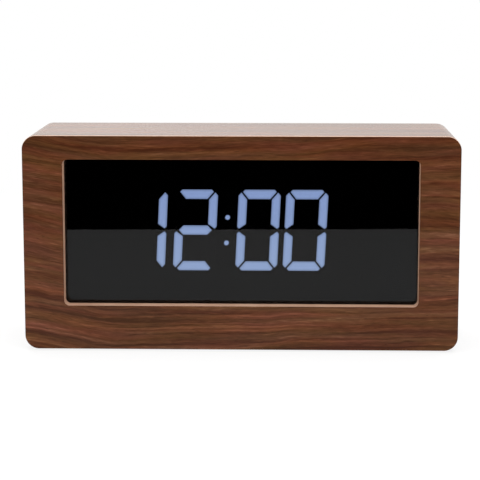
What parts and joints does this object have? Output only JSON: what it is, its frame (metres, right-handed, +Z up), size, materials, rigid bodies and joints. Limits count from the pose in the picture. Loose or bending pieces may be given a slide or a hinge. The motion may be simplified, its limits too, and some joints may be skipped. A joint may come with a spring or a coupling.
{
  "type": "led table clock",
  "caption": "Box-shaped digital table clock: wood-veneered case, recessed smoked window over lit seven-segment digits, rear cover with set keys, alarm switch, power socket and battery door.",
  "frame": {"origin": "middle of the underside, on the surface that the feet stand on", "axes": "+X is right as seen from the front, +Y points to the back of the clock, +Z is up"},
  "size_m": [0.25, 0.08, 0.1248],
  "materials": {
    "walnut_veneer": "satin lacquer",
    "smoked_acrylic": "polished",
    "black_foam": "matte",
    "black_plastic": "fine texture",
    "white_plastic": "satin",
    "lit_diffuser": "translucent, lit from behind",
    "circuit_board": "solder mask",
    "component_black": "matte",
    "plated_metal": "bright plated",
    "blackened_steel": "black oxide",
    "foot_rubber": "matte",
    "ribbon_grey": "satin",
    "wire_red": "satin",
    "wire_black": "satin",
    "cell_wrap": "gloss film",
    "capacitor_sleeve": "gloss film"
  },
  "bodies": {
    "case": {"front_panel": "walnut_veneer", "case_sleeve": "walnut_veneer", "lens_gasket": "black_foam", "lens": "smoked_acrylic", "display_mask": "black_plastic", "diffuser_hours_tens": "lit_diffuser", "diffuser_hours_units": "lit_diffuser", "diffuser_colon": "lit_diffuser", "diffuser_minutes_tens": "lit_diffuser", "diffuser_minutes_units": "lit_diffuser", "display_reflector": "white_plastic", "display_board": "circuit_board", "display_screw_1": "blackened_steel", "display_screw_2": "blackened_steel", "display_screw_3": "blackened_steel", "display_screw_4": "blackened_steel", "display_connector": "white_plastic", "board_connector": "white_plastic", "ribbon_cable": "ribbon_grey", "foot_1": "foot_rubber", "foot_2": "foot_rubber", "foot_3": "foot_rubber", "foot_4": "foot_rubber", "clock_board": "circuit_board", "board_screw_1": "blackened_steel", "board_screw_2": "blackened_steel", "clock_chip": "component_black", "crystal": "plated_metal", "capacitor": "capacitor_sleeve", "buzzer": "component_black", "power_socket": "black_plastic", "set_switch": "component_black", "up_switch": "component_black", "down_switch": "component_black", "alarm_switch": "component_black", "back_cover": "black_plastic", "cover_screw_1": "blackened_steel", "cover_screw_2": "blackened_steel", "cover_screw_3": "blackened_steel", "cover_screw_4": "blackened_steel", "battery_tray": "black_plastic", "battery_cell_1": "cell_wrap", "battery_cell_2": "cell_wrap", "battery_cell_3": "cell_wrap", "plate_contact_1": "plated_metal", "plate_contact_2": "plated_metal", "plate_contact_3": "plated_metal", "spring_contact_1": "plated_metal", "spring_contact_2": "plated_metal", "spring_contact_3": "plated_metal", "battery_lead_red": "wire_red", "battery_lead_black": "wire_black"},
    "set_key": {"set_button": "black_plastic", "set_plunger": "white_plastic"},
    "up_key": {"up_button": "black_plastic", "up_plunger": "white_plastic"},
    "down_key": {"down_button": "black_plastic", "down_plunger": "white_plastic"},
    "alarm_slider": {"alarm_knob": "white_plastic"},
    "door": {"battery_door": "black_plastic"}
  },
  "joints": [
    {"name": "set_press", "type": "slide", "parent": "case", "child": "set_key", "axis": [0, -1, 0], "range_m": [0, 0.0008], "stiffness_N_per_m": 1500},
    {"name": "up_press", "type": "slide", "parent": "case", "child": "up_key", "axis": [0, -1, 0], "range_m": [0, 0.0008], "stiffness_N_per_m": 1500},
    {"name": "down_press", "type": "slide", "parent": "case", "child": "down_key", "axis": [0, -1, 0], "range_m": [0, 0.0008], "stiffness_N_per_m": 1500},
    {"name": "alarm_slide", "type": "slide", "parent": "case", "child": "alarm_slider", "axis": [1, 0, 0], "range_m": [0, 0.003]},
    {"name": "door_hinge", "type": "hinge", "parent": "case", "child": "door", "pos_m": [0.04, 0.037, 0.038], "axis": [-1, 0, 0], "range_deg": [0, 75]}
  ]
}
